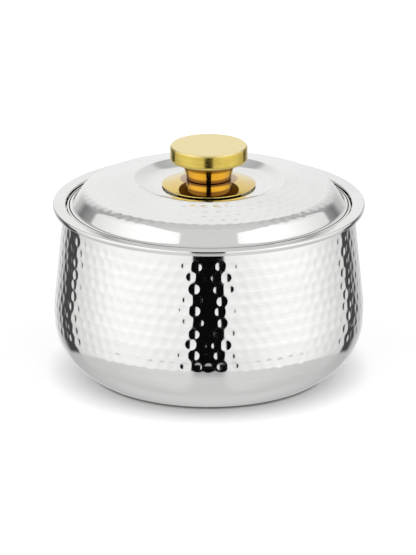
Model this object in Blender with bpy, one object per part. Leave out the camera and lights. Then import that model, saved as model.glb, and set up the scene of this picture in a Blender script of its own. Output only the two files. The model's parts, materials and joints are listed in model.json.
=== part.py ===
"""Insulated chapati casserole: a double-walled stainless steel serving pot with a lift-off lid.

The pot is an outer shell and an inner bowl with hard foam between them. The lid is a domed cover
and a liner pan, also foam filled, with a gold-coloured knob held by one long screw from below.
All pieces are turned about the vertical axis. Lengths are in metres and +Z is up.
Run it with: blender --background --python part.py
"""
import math

import bmesh
import bpy
from mathutils import Vector

MM = 0.001
ROUND_STEPS = 36
KNOB_ROUND_STEPS = 32
SMALL_ROUND_STEPS = 20
FILLET_STEPS = 2
CORNER_STEPS = 5
CURVE_STEPS = 7
DISC_STEPS = 4
BLEND_STEPS = 2
MERGE_DISTANCE = 0.00001
SHARP_ANGLE = math.radians(35)

# Sheet metal and fits
sheet = 0.6 * MM
fit = 0.3 * MM

# Rim: the bowl's flange, with its edge rolled down and under. The radius is to its corner before rounding,
# and the insides of the bends here and below are the radii on the hollow side of the sheet
rim_radius = 115.2 * MM
rim_height = 129.5 * MM
rim_width = 9.7 * MM
rim_rise = 1.0 * MM
rim_drop = 4.3 * MM
rim_lean = 0.7 * MM
rim_roll_inside = 0.8 * MM
rim_hem_inside = 0.4 * MM
rim_hem = 3.6 * MM

# Outer shell: a round belly over a narrower foot, and a nearly straight cone up to the rim
belly_inset = 0.6 * MM
belly_height = 50.0 * MM
belly_blend = 6.0 * MM
belly_power = 3.1
base_inset = 27.6 * MM
foot_width = 7.0 * MM
foot_fillet = 3.0 * MM

# Inner bowl: a ledge that the lid sits on, then a tapered wall and a flat floor
seat_width = 8.0 * MM
step_inside = 0.3 * MM
mouth_inside = 1.4 * MM
bowl_taper = 3.5 * MM
bowl_corner = 22.0 * MM
bowl_floor_height = 14.0 * MM

# Base plate, with a raised panel, and the plug of the foam port
plate_inset = 1.8 * MM
panel_inset = 13.0 * MM
panel_slope = 3.0 * MM
panel_rise = 1.5 * MM
port_radius = 6.0 * MM
plug_head_margin = 3.0 * MM
plug_ground_clearance = 1.0 * MM
plug_stem_length = 3.0 * MM

# Lid cover: a flat lip, a steep shoulder, a crown that rises to a crest, and a dish around the knob
lid_gap = 1.0 * MM
lip_sink = 1.1 * MM
lip_width = 3.6 * MM
lip_fillet = 6.0 * MM
hem_width = 4.0 * MM
hem_inside = 0.5 * MM
hem_crease = 1.0 * MM
shoulder_width = 8.8 * MM
shoulder_rise = 12.2 * MM
shoulder_fillet = 12.0 * MM
crown_rise = 7.5 * MM
crest_fillet = 2.0 * MM
recess_margin = 15.9 * MM
recess_slope = 5.3 * MM
recess_depth = 5.5 * MM
recess_fillet = 6.0 * MM

# Lid liner: a pan that reaches into the mouth, with a well in it for the screw's head
liner_clearance = 2.0 * MM
liner_depth = 12.5 * MM
liner_shoulder_fillet = 1.5 * MM
liner_corner = 6.0 * MM
well_margin = 4.0 * MM
well_height = 9.0 * MM

# Knob screw and what it clamps
screw_radius = 2.5 * MM
bore_clearance = 0.3 * MM
screw_head_overhang = 2.3 * MM
screw_head_height = 3.2 * MM
screw_head_edge = 1.2 * MM
screw_head_flat = 2.4 * MM
screw_end_gap = 0.7 * MM
lock_washer_width = 1.8 * MM
lock_washer_thickness = 1.2 * MM
lock_washer_split = 0.8 * MM
cut_overrun = 1.0 * MM
plain_washer_width = 4.7 * MM
plain_washer_thickness = 1.0 * MM
sealing_washer_width = 6.2 * MM
sealing_washer_thickness = 1.2 * MM
sleeve_wall = 1.2 * MM
backing_washer_width = 9.2 * MM
backing_washer_thickness = 1.0 * MM

# Knob, from the lid up: gasket, spacer, base disc, neck and head
gasket_inset = 2.0 * MM
gasket_thickness = 0.8 * MM
spacer_chamfer = 1.0 * MM
disc_radius = 34.6 * MM
disc_overhang = 12.1 * MM
disc_sheet = 0.8 * MM
disc_lift = 1.4 * MM
disc_rise = 4.2 * MM
disc_seat_margin = 0.9 * MM
disc_power = 1.5
neck_foot_radius = 16.6 * MM
neck_top_radius = 21.6 * MM
neck_height = 13.8 * MM
neck_straight_share = 0.28
head_radius = 28.4 * MM
head_height = 10.9 * MM
head_top_chamfer = 1.0 * MM
head_top_chamfer_height = 1.5 * MM
head_foot_chamfer = 1.2 * MM
head_foot_chamfer_height = 3.1 * MM
head_top_thickness = 2.1 * MM
insert_wall = 1.5 * MM
insert_spare_depth = 1.5 * MM

# Bends of sheet metal, on its outer side
rim_roll = sheet + rim_roll_inside
rim_hem_roll = sheet + rim_hem_inside
step_fillet = sheet + step_inside
mouth_fillet = sheet + mouth_inside
hem_fillet = sheet + hem_inside

# Radii that follow from the rim, the knob's disc and the screw
seat_radius = rim_radius - rim_width
mouth_radius = seat_radius - seat_width
shell_top_radius = seat_radius + sheet + fit + sheet
belly_radius = rim_radius - belly_inset
base_radius = belly_radius - base_inset
lid_radius = seat_radius - lid_gap
liner_radius = mouth_radius - liner_clearance
recess_radius = disc_radius + recess_margin
crest_radius = recess_radius + recess_slope
crown_radius = lid_radius - lip_width - shoulder_width
bore_radius = screw_radius + bore_clearance
insert_radius = bore_radius + insert_wall
screw_head_radius = screw_radius + screw_head_overhang
sealing_washer_radius = bore_radius + sealing_washer_width
backing_washer_radius = bore_radius + backing_washer_width
well_radius = sealing_washer_radius + well_margin
spacer_radius = disc_radius - disc_overhang
gasket_radius = spacer_radius - gasket_inset

# Heights of the pot's and the lid's seats
flange_foot_height = rim_height - rim_rise
lip_height = flange_foot_height - lip_sink
hem_foot_height = lip_height - 3 * sheet - 2 * fit
seat_height = hem_foot_height - fit
panel_height = sheet + fit + panel_rise
crown_foot_height = lip_height + shoulder_rise
crest_height = crown_foot_height + crown_rise
recess_height = crest_height - recess_depth
liner_flange_height = hem_foot_height + sheet + fit
liner_floor_height = seat_height - liner_depth
well_top_height = liner_floor_height + well_height

# Heights up the screw, from its head in the well to the knob's top
sealing_washer_height = well_top_height - fit - sealing_washer_thickness
plain_washer_height = sealing_washer_height - fit - plain_washer_thickness
lock_washer_height = plain_washer_height - fit - lock_washer_thickness
screw_seat_height = lock_washer_height - fit
sleeve_foot_height = well_top_height + sheet + fit
backing_washer_height = recess_height - sheet - fit - backing_washer_thickness
sleeve_length = backing_washer_height - fit - sleeve_foot_height
gasket_height = recess_height + fit
spacer_height = gasket_height + gasket_thickness + fit
disc_edge_height = recess_height + disc_lift
disc_seat_height = disc_edge_height + disc_rise
disc_seat_radius = neck_foot_radius + disc_seat_margin
neck_foot_height = disc_seat_height + fit
head_foot_height = neck_foot_height + neck_height + fit
insert_foot_height = head_foot_height + fit
socket_depth = head_height - head_top_thickness
insert_length = socket_depth - fit - insert_spare_depth
screw_end_height = head_foot_height + socket_depth - screw_end_gap


def clear_scene():
    for thing in list(bpy.data.objects):
        bpy.data.objects.remove(thing, do_unlink=True)


def finish(name, colour, roughness, metallic):
    """A material of one Principled BSDF."""
    material = bpy.data.materials.new(name)
    material.use_nodes = True
    shader = material.node_tree.nodes["Principled BSDF"]
    shader.inputs["Base Color"].default_value = (*colour, 1.0)
    shader.inputs["Roughness"].default_value = roughness
    shader.inputs["Metallic"].default_value = metallic
    return material


def carrier(name):
    """An empty on the pot's axis, which the pieces of one body hang on."""
    empty = bpy.data.objects.new(name, None)
    bpy.context.scene.collection.objects.link(empty)
    return empty


def fillet(before, corner, after, radius, steps=FILLET_STEPS):
    """Points of the arc that rounds a corner, no wider than half of either side."""
    incoming = (corner - before).normalized()
    outgoing = (after - corner).normalized()
    turn = incoming.angle(outgoing)
    room = min((corner - before).length, (after - corner).length) / 2
    reach = min(radius * math.tan(turn / 2), room)
    start = corner - incoming * reach
    end = corner + outgoing * reach
    pull = math.cos(turn / 2)
    points = []
    for step in range(steps + 1):
        t = step / steps
        weights = ((1 - t) ** 2, 2 * t * (1 - t) * pull, t ** 2)
        mixed = start * weights[0] + corner * weights[1] + end * weights[2]
        points.append(mixed / sum(weights))
    return points


def rounded(path):
    """A line through (radius, height) points; a corner's fillet radius and its steps may follow."""
    corners = [Vector(point[:2]) for point in path]
    points = [corners[0]]
    for i in range(1, len(path) - 1):
        if len(path[i]) > 2:
            points += fillet(corners[i - 1], corners[i], corners[i + 1], *path[i][2:])
        else:
            points.append(corners[i])
    return points + [corners[-1]]


def to_the_left(direction):
    return Vector((-direction.y, direction.x)).normalized()


def offset(line, distance):
    """The line moved sideways with mitred corners, to the left for a positive distance."""
    moved = []
    last = len(line) - 1
    for i, point in enumerate(line):
        before = to_the_left(line[max(i, 1)] - line[max(i, 1) - 1])
        after = to_the_left(line[min(i, last - 1) + 1] - line[min(i, last - 1)])
        mitre = (before + after).normalized()
        moved.append(point + mitre * (distance / mitre.dot(before)))
    return moved


def stretch(line, axis, low, high):
    """The part of a line where its radius (axis 0) or height (axis 1) is between two values."""
    kept = []
    for start, end in zip(line, line[1:]):
        ends = sorted((start[axis], end[axis]))
        if ends[1] < low or ends[0] > high:
            continue
        for point, other in ((start, end), (end, start)):
            limit = min(max(point[axis], low), high)
            if limit != point[axis]:
                point = point.lerp(other, (limit - point[axis]) / (other[axis] - point[axis]))
            if not kept or (point - kept[-1]).length > MERGE_DISTANCE:
                kept.append(point)
    return kept


def turned(name, outline, material, parent, height=0.0, steps=ROUND_STEPS):
    """A solid turned from an outline, closed by itself or by the axis where it starts and ends there."""
    build = bmesh.new()
    verts = [build.verts.new((radius, 0.0, level)) for radius, level in outline]
    edges = [build.edges.new(pair) for pair in zip(verts, verts[1:])]
    on_axis = outline[0][0] == 0 and outline[-1][0] == 0
    if not on_axis:
        edges.append(build.edges.new((verts[-1], verts[0])))
    bmesh.ops.spin(build, geom=verts + edges, axis=(0, 0, 1), cent=(0, 0, 0),
                   angle=math.tau, steps=steps, use_merge=True)
    bmesh.ops.remove_doubles(build, verts=build.verts, dist=MERGE_DISTANCE)
    bmesh.ops.recalc_face_normals(build, faces=build.faces)
    mesh = bpy.data.meshes.new(name)
    build.to_mesh(mesh)
    build.free()
    mesh.shade_smooth()
    mesh.set_sharp_from_angle(angle=SHARP_ANGLE)
    mesh.materials.append(material)
    piece = bpy.data.objects.new(name, mesh)
    piece.location.z = height
    piece.parent = parent
    bpy.context.scene.collection.objects.link(piece)
    return piece


def ring(name, inner, outer, thickness, material, parent, height, steps=SMALL_ROUND_STEPS):
    """A plain ring that stands on the given height: a washer, a sleeve or a bush."""
    outline = [(inner, 0.0), (inner, thickness), (outer, thickness), (outer, 0.0)]
    return turned(name, outline, material, parent, height, steps)


def shell_line():
    """The outer shell's outside, from its top edge under the rim down to the inner edge of the foot."""
    top = flange_foot_height - sheet - fit
    lean = (belly_radius - shell_top_radius) / (top - belly_height - belly_blend / 2)
    line = [(shell_top_radius, top)]
    for step in range(BLEND_STEPS + 1):
        climb = belly_blend * (1 - step / BLEND_STEPS)
        line.append((belly_radius - lean * climb ** 2 / (2 * belly_blend), belly_height + climb))
    for step in range(1, CURVE_STEPS):
        fall = step / CURVE_STEPS
        line.append((belly_radius - base_inset * fall ** belly_power, belly_height * (1 - fall)))
    line.append((base_radius, 0.0, foot_fillet))
    line.append((base_radius - foot_width, 0.0))
    return rounded(line)


def bowl_line():
    """The inner bowl's visible side, from under the rolled rim, over the ledge, to the floor's centre."""
    return rounded([
        (rim_radius - rim_hem, rim_height - rim_drop),
        (rim_radius - rim_lean, rim_height - rim_drop, rim_hem_roll),
        (rim_radius, rim_height, rim_roll),
        (seat_radius, flange_foot_height, step_fillet),
        (seat_radius, seat_height),
        (mouth_radius, seat_height, mouth_fillet),
        (mouth_radius - bowl_taper, bowl_floor_height, bowl_corner, CORNER_STEPS),
        (0.0, bowl_floor_height),
    ])


def plate_line():
    """The base plate's lower side, from its edge on the foot, over the raised panel, to the port."""
    panel_radius = base_radius - panel_inset
    return rounded([
        (base_radius - plate_inset, sheet + fit),
        (panel_radius, sheet + fit),
        (panel_radius - panel_slope, panel_height),
        (port_radius, panel_height),
    ])


def cover_line():
    """The lid cover's visible side, from the hem's inner edge, over the shoulder and the crown, to the bore."""
    return rounded([
        (lid_radius - hem_width, hem_foot_height),
        (lid_radius, hem_foot_height, hem_fillet),
        (lid_radius, lip_height, hem_fillet),
        (lid_radius - lip_width, lip_height, lip_fillet),
        (crown_radius, crown_foot_height, shoulder_fillet, CORNER_STEPS),
        (crest_radius, crest_height, crest_fillet),
        (recess_radius, recess_height, recess_fillet, CORNER_STEPS),
        (bore_radius, recess_height),
    ])


def liner_line():
    """The liner's lower side, from its flange in the hem, down into the mouth, to the bore in the well."""
    return rounded([
        (lid_radius - sheet - hem_crease, liner_flange_height),
        (liner_radius, liner_flange_height, liner_shoulder_fillet),
        (liner_radius, liner_floor_height, liner_corner),
        (well_radius, liner_floor_height),
        (well_radius, well_top_height),
        (bore_radius, well_top_height),
    ])


def disc_line():
    """The base disc's upper side: a flat seat for the neck, and a dome that falls faster to the edge."""
    line = [(bore_radius, disc_seat_height)]
    span = disc_radius - disc_seat_radius
    for step in range(DISC_STEPS + 1):
        share = step / DISC_STEPS
        line.append((disc_seat_radius + span * share, disc_seat_height - disc_rise * share ** disc_power))
    return rounded(line)


def pressed(name, line, thickness, material, parent, steps=ROUND_STEPS):
    """A sheet metal piece: the line is one side, and the other is to its left, or right if negative."""
    return turned(name, line + offset(line, thickness)[::-1], material, parent, steps=steps)


def make_pot(parent, steel, foam, plastic):
    shell = shell_line()
    bowl = bowl_line()
    plate = plate_line()
    pressed("outer_shell", shell, -sheet, steel, parent)
    pressed_bowl = bowl[::-1] + offset(bowl, sheet)
    turned("inner_bowl", pressed_bowl, steel, parent)
    pressed("base_plate", plate, -sheet, steel, parent)

    foam_gap = sheet + fit
    foam_top = seat_height - foam_gap
    foam_foot = sheet + fit + foam_gap
    foam_shell = stretch(offset(shell, -foam_gap), 1, foam_foot, foam_top)
    bowl_side = stretch(offset(bowl, foam_gap), 0, 0.0, mouth_radius + mouth_fillet)
    plate_top = offset(plate, -foam_gap)[1:-1]
    pocket_radius = port_radius + fit
    pocket_top = panel_height + sheet + plug_stem_length + fit
    outline = bowl_side[::-1] + foam_shell + plate_top
    outline += [(pocket_radius, panel_height + foam_gap), (pocket_radius, pocket_top), (0.0, pocket_top)]
    turned("body_insulation", outline, foam, parent)

    stem_radius = port_radius - fit
    plug_head_radius = port_radius + plug_head_margin
    plug_head_height = panel_height - fit - plug_ground_clearance
    plug_top = panel_height + sheet + plug_stem_length - plug_ground_clearance
    plug = [
        (0.0, plug_top),
        (stem_radius, plug_top),
        (stem_radius, plug_head_height),
        (plug_head_radius, plug_head_height),
        (plug_head_radius, 0.0),
        (0.0, 0.0),
    ]
    turned("fill_plug", plug, plastic, parent, plug_ground_clearance, SMALL_ROUND_STEPS)


def make_lid_shells(parent, steel, foam):
    cover = cover_line()
    liner = liner_line()
    pressed("lid_cover", cover, sheet, steel, parent)
    pressed("lid_liner", liner, -sheet, steel, parent)

    foam_gap = sheet + fit
    pocket_radius = backing_washer_radius + fit
    pocket_height = backing_washer_height - fit
    hole_radius = bore_radius + sleeve_wall + fit
    foam_foot = liner_flange_height + foam_gap
    under_cover = stretch(offset(cover, foam_gap), 0, pocket_radius, lid_radius - lip_width)
    under_cover = stretch(under_cover, 1, foam_foot, crest_height)
    over_liner = stretch(offset(liner, -foam_gap), 0, hole_radius, liner_radius + liner_shoulder_fillet)
    outline = under_cover + [(pocket_radius, pocket_height), (hole_radius, pocket_height)] + over_liner[::-1]
    turned("lid_insulation", outline, foam, parent)


def make_screw(parent, steel):
    """A pan head below its seat, and a plain shank as wide as its thread."""
    length = screw_end_height - screw_seat_height
    outline = [
        (0.0, length),
        (screw_radius, length),
        (screw_radius, 0.0),
        (screw_head_radius, 0.0),
        (screw_head_radius, -screw_head_edge),
        (screw_head_flat, -screw_head_height),
        (0.0, -screw_head_height),
    ]
    turned("knob_screw", outline, steel, parent, screw_seat_height, SMALL_ROUND_STEPS)


def make_lock_washer(parent, steel):
    """A split ring: a narrow block cuts one side of it open."""
    washer = ring("lock_washer", bore_radius, bore_radius + lock_washer_width, lock_washer_thickness,
                  steel, parent, lock_washer_height)
    mesh = bpy.data.meshes.new("lock_washer_split")
    build = bmesh.new()
    bmesh.ops.create_cube(build, size=1.0)
    bmesh.ops.scale(build, verts=build.verts,
                    vec=(lock_washer_width + 2 * cut_overrun, lock_washer_split,
                         lock_washer_thickness + 2 * cut_overrun))
    build.to_mesh(mesh)
    build.free()
    cutter = bpy.data.objects.new("lock_washer_split", mesh)
    cutter.location = (bore_radius + lock_washer_width / 2, 0.0,
                       lock_washer_height + lock_washer_thickness / 2)
    cutter.parent = parent
    cutter.hide_render = True
    cutter.display_type = "WIRE"
    bpy.context.scene.collection.objects.link(cutter)
    cut = washer.modifiers.new("split", "BOOLEAN")
    cut.operation = "DIFFERENCE"
    cut.object = cutter


def make_fastening(parent, steel, silicone, brass):
    make_screw(parent, steel)
    make_lock_washer(parent, steel)
    ring("plain_washer", bore_radius, bore_radius + plain_washer_width, plain_washer_thickness,
         steel, parent, plain_washer_height)
    ring("sealing_washer", bore_radius, sealing_washer_radius, sealing_washer_thickness,
         silicone, parent, sealing_washer_height)
    ring("spacer_sleeve", bore_radius, bore_radius + sleeve_wall, sleeve_length,
         steel, parent, sleeve_foot_height)
    ring("backing_washer", bore_radius, backing_washer_radius, backing_washer_thickness,
         steel, parent, backing_washer_height)
    ring("knob_insert", bore_radius, insert_radius, insert_length,
         brass, parent, insert_foot_height)


def make_knob(parent, gold, silicone, plastic):
    ring("knob_gasket", bore_radius, gasket_radius, gasket_thickness,
         silicone, parent, gasket_height, KNOB_ROUND_STEPS)

    under_disc = stretch(offset(disc_line(), -disc_sheet - fit), 0, bore_radius, spacer_radius)
    spacer = [
        (bore_radius, spacer_height),
        *under_disc,
        (spacer_radius, spacer_height + spacer_chamfer),
        (spacer_radius - spacer_chamfer, spacer_height),
    ]
    turned("base_spacer", spacer, plastic, parent, steps=KNOB_ROUND_STEPS)

    pressed("knob_base_disc", disc_line(), -disc_sheet, gold, parent, KNOB_ROUND_STEPS)

    neck = [(bore_radius, 0.0), (bore_radius, neck_height)]
    for step in range(CURVE_STEPS + 1):
        rise = 1 - step / CURVE_STEPS
        flare = neck_straight_share * rise + (1 - neck_straight_share) * rise ** 2
        neck.append((neck_foot_radius + (neck_top_radius - neck_foot_radius) * flare, neck_height * rise))
    turned("knob_neck", neck, gold, parent, neck_foot_height, KNOB_ROUND_STEPS)

    socket_radius = insert_radius + fit
    head = [
        (0.0, head_height),
        (head_radius - head_top_chamfer, head_height),
        (head_radius, head_height - head_top_chamfer_height),
        (head_radius, head_foot_chamfer_height),
        (head_radius - head_foot_chamfer, 0.0),
        (socket_radius, 0.0),
        (socket_radius, socket_depth),
        (0.0, socket_depth),
    ]
    turned("knob_head", head, gold, parent, head_foot_height, KNOB_ROUND_STEPS)


def main():
    clear_scene()
    steel = finish("polished_stainless_steel", (0.78, 0.78, 0.78), 0.12, 1.0)
    gold = finish("gold_coloured_plating", (0.83, 0.60, 0.17), 0.16, 1.0)
    brass = finish("turned_brass", (0.72, 0.52, 0.22), 0.30, 1.0)
    foam = finish("rigid_foam", (0.86, 0.74, 0.47), 0.90, 0.0)
    silicone = finish("grey_silicone", (0.35, 0.35, 0.36), 0.60, 0.0)
    plastic = finish("black_nylon", (0.03, 0.03, 0.03), 0.45, 0.0)
    pot = carrier("pot_axis")
    lid = carrier("lid_axis")
    make_pot(pot, steel, foam, plastic)
    make_lid_shells(lid, steel, foam)
    make_fastening(lid, steel, silicone, brass)
    make_knob(lid, gold, silicone, plastic)


main()
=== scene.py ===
# %% [markdown]
# An insulated serving pot for flat bread: a hammered steel shell over a foam-filled wall, with a domed
# lift-off lid and a gold-coloured knob. Every piece of it was spun or turned on a lathe, so nearly every
# surface here is one outline carried round the vertical axis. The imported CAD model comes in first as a
# frame: it says where each piece is, and the pieces made below take its places.

# %% Load the frame
import json
import math

import bpy
import numpy as np
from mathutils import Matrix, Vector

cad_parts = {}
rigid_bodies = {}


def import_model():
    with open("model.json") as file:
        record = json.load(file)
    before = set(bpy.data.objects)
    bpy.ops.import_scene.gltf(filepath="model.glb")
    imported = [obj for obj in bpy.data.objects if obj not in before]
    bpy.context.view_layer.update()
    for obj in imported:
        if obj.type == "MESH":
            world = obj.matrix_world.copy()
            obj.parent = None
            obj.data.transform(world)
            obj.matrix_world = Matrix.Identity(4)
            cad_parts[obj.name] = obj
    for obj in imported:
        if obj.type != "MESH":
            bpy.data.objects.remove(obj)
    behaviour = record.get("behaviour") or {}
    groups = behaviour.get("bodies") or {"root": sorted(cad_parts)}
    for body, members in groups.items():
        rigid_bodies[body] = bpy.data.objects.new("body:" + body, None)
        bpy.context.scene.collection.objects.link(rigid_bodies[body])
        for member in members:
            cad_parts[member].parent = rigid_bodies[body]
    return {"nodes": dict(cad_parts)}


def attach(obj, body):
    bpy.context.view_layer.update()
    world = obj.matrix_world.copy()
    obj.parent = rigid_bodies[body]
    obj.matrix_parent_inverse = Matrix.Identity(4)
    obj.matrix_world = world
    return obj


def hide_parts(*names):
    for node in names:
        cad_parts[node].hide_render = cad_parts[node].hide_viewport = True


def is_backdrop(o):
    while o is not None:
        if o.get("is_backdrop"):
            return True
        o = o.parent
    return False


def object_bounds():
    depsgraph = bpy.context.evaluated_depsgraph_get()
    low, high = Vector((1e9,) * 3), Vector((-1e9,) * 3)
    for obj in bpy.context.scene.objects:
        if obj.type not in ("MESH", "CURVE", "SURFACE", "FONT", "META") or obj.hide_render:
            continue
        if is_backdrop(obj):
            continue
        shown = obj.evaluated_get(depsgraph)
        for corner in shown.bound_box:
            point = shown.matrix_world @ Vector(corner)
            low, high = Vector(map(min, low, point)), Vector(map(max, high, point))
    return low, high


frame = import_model()
cad_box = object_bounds()

# %% [markdown]
# The camera comes next, because each later choice is judged through it. It stands three metres away and
# looks down on the pot by 19 degrees. A long lens keeps the circles of the rim, the lid and the foot
# nearly as flat ellipses. The aim is a point on the pot's axis, and a very small shift puts that axis a
# little right of the middle of the picture. Lengths are in metres, written as millimetres times MM. Only
# the lens and the sensor are in millimetres by themselves, because Blender takes them so.

# %% Camera
MM = 0.001
PICTURE_HEIGHT = 555
camera_distance = 3000 * MM
camera_elevation = math.radians(19.26)
aim_height = 69.6 * MM
axis_offset_pixels = 0.8
sensor_width = 36.0
focal_length = 262.64

camera_data = bpy.data.cameras.new("studio_camera")
camera_data.sensor_width = sensor_width
camera_data.lens = focal_length
camera_data.shift_x = -axis_offset_pixels / PICTURE_HEIGHT
camera = bpy.data.objects.new("studio_camera", camera_data)
camera.location = (
    0.0,
    -camera_distance * math.cos(camera_elevation),
    aim_height + camera_distance * math.sin(camera_elevation),
)
camera.rotation_euler = (math.pi / 2 - camera_elevation, 0.0, 0.0)
bpy.context.scene.collection.objects.link(camera)
bpy.context.scene.camera = camera
bpy.context.scene.view_settings.view_transform = "Standard"
print("camera at", [round(value, 3) for value in camera.location])

# %% [markdown]
# A few small helpers serve all the materials and the studio. Colours are written as sRGB hex values, as
# they are picked in a paint program, and turned to linear light. Nodes are added with their settings and
# links in one call, so that a material reads from top to bottom.

# %% Helpers for colours and nodes


def linear(hex_colour):
    """An sRGB hex colour in linear light: c / 12.92 when dark, otherwise ((c + 0.055) / 1.055) ^ 2.4."""
    shares = np.array([int(hex_colour[place:place + 2], 16) / 255 for place in (1, 3, 5)])
    light = np.where(shares <= 0.04045, shares / 12.92, ((shares + 0.055) / 1.055) ** 2.4)
    return (*light.tolist(), 1.0)


def add_node(tree, kind, inputs=None, **settings):
    """
    One node with its settings. The inputs go by name or number, or all in their order. Each is a value, the
    socket that feeds it, or the node whose first output feeds it.
    """
    node = tree.nodes.new(kind)
    for name, value in settings.items():
        setattr(node, name, value)
    numbered = inputs if isinstance(inputs, dict) else dict(enumerate(inputs or ()))
    for name, value in numbered.items():
        if isinstance(value, bpy.types.Node):
            value = value.outputs[0]
        if isinstance(value, bpy.types.NodeSocket):
            tree.links.new(value, node.inputs[name])
        else:
            node.inputs[name].default_value = value
    return node


def empty_material(name):
    """A new material without any node, and its node tree."""
    material = bpy.data.materials.new(name)
    material.use_nodes = True
    material.node_tree.nodes.clear()
    return material, material.node_tree


print("white in linear light:", linear("#FFFFFF")[:3])

# %% [markdown]
# Polished steel has almost no colour of its own: what it shows is the room. A photographer lights such a
# pot in a tent: two tall white panels at its sides, white paper behind it, and a grey ceiling. The narrow
# gap between the panels, where the camera stands, is the black stripe down the middle of the pot, and the
# slots behind them are the dark bands at its two sides. So the room is made here as a world whose
# brightness depends on the direction alone. Lamps could do it too, but soft panels all round give less
# noise, and a direction is easy to measure on a round pot. Two numbers describe a direction, both in
# degrees: how far round from the camera's side it is, and how high above the table. Nearly every level
# below comes from a Map Range node that follows one of them. Its five numbers are what it follows, where
# it starts and ends, and the level at its start and at its end, with a smooth change in between.

# %% Studio: directions
world = bpy.data.worlds.new("panel_studio")
bpy.context.scene.world = world
world.use_nodes = True
studio = world.node_tree
studio.nodes.clear()
SMOOTH = {"interpolation_type": "SMOOTHSTEP"}

direction = add_node(studio, "ShaderNodeTexCoord").outputs["Generated"]
parts = add_node(studio, "ShaderNodeSeparateXYZ", [direction]).outputs
towards_camera = add_node(studio, "ShaderNodeMath", [parts["Y"], -1.0], operation="MULTIPLY")
sideways = add_node(studio, "ShaderNodeMath", [parts["X"]], operation="ABSOLUTE")
turn = add_node(studio, "ShaderNodeMath", [sideways, towards_camera], operation="ARCTAN2")
azimuth = add_node(studio, "ShaderNodeMath", [turn], operation="DEGREES")
climb_angle = add_node(studio, "ShaderNodeMath", [parts["Z"]], operation="ARCSINE")
elevation = add_node(studio, "ShaderNodeMath", [climb_angle], operation="DEGREES")
on_right = add_node(studio, "ShaderNodeMath", [parts["X"], 0.0], operation="GREATER_THAN")
print("studio direction nodes:", len(studio.nodes))

# %% [markdown]
# The levels below are about what a white thing sends back: 1 is white. A panel is lit best at its middle,
# and fades towards its front and back edges and towards the table. Those slow changes are what makes the
# hammer marks show on the white parts of the pot: a mark there mirrors a brighter and a darker part of
# the same panel. The left panel ends a little earlier than the right one, and both end softly.

# %% Studio: the side panels
PANEL_LEVEL = 1.04
PANEL_END_LEFT = 120.5
PANEL_END_RIGHT = 124.5
PANEL_END_BLUR = 2.0
panel_front = add_node(studio, "ShaderNodeMapRange", [azimuth, 8.0, 58.0, 0.89, PANEL_LEVEL], **SMOOTH)
panel_back = add_node(studio, "ShaderNodeMapRange", [azimuth, 68.0, 126.0, 1.0, 0.70], **SMOOTH)
panel_climb = add_node(studio, "ShaderNodeMapRange", [elevation, -34.0, 14.0, 0.875, 1.10], **SMOOTH)
panel_foot = add_node(studio, "ShaderNodeMapRange", [elevation, -40.0, -12.0, 0.055, 0.0], **SMOOTH)
panel_round = add_node(studio, "ShaderNodeMath", [panel_front, panel_back], operation="MULTIPLY")
panel_upright = add_node(studio, "ShaderNodeMath", [panel_climb, panel_foot], operation="ADD")
panel = add_node(studio, "ShaderNodeMath", [panel_round, panel_upright], operation="MULTIPLY")
panel_end = add_node(studio, "ShaderNodeMix", {0: on_right, 2: PANEL_END_LEFT, 3: PANEL_END_RIGHT})
beyond_end = add_node(studio, "ShaderNodeMath", [azimuth, panel_end], operation="SUBTRACT")
past_panel = add_node(studio, "ShaderNodeMapRange", [beyond_end, -PANEL_END_BLUR, PANEL_END_BLUR, 0.0, 1.0],
                      **SMOOTH)
print("the panels end at", PANEL_END_LEFT, "and", PANEL_END_RIGHT, "degrees")

# %% [markdown]
# Behind each panel is a slot. It is nearly black by the table, and dark grey higher up, where light from
# the ceiling reaches in. Towards the paper behind it opens fast at first, and then slowly.

# %% Studio: the slots and the backdrop
BACKDROP_LEVEL = 0.89
SLOT_END_LEFT = 166.0
SLOT_END_RIGHT = 178.0
slot_level = add_node(studio, "ShaderNodeMapRange", [elevation, -2.0, 28.0, 0.06, 0.42], **SMOOTH)
slot_end = add_node(studio, "ShaderNodeMix", {0: on_right, 2: SLOT_END_LEFT, 3: SLOT_END_RIGHT})
fast_opening = add_node(studio, "ShaderNodeMapRange", [azimuth, 135.0, 148.0, 0.0, 0.54], **SMOOTH)
slow_opening = add_node(studio, "ShaderNodeMapRange", [azimuth, 145.0, slot_end, 0.0, 0.46], **SMOOTH)
past_slot = add_node(studio, "ShaderNodeMath", [fast_opening, slow_opening], operation="ADD")
behind_panels = add_node(studio, "ShaderNodeMix", {0: past_slot, 2: slot_level, 3: BACKDROP_LEVEL})
sides = add_node(studio, "ShaderNodeMix", {0: past_panel, 2: panel, 3: behind_panels})
print("the slots end at", SLOT_END_LEFT, "and", SLOT_END_RIGHT, "degrees")

# %% [markdown]
# The ceiling is grey, a little darker behind than in front, with shade in its back corners. Its edge is
# highest over the panels, and lower in front and behind. So the edge is a height in degrees that is put
# together from four pieces on the way round, and its blur grows towards the back.

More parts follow.
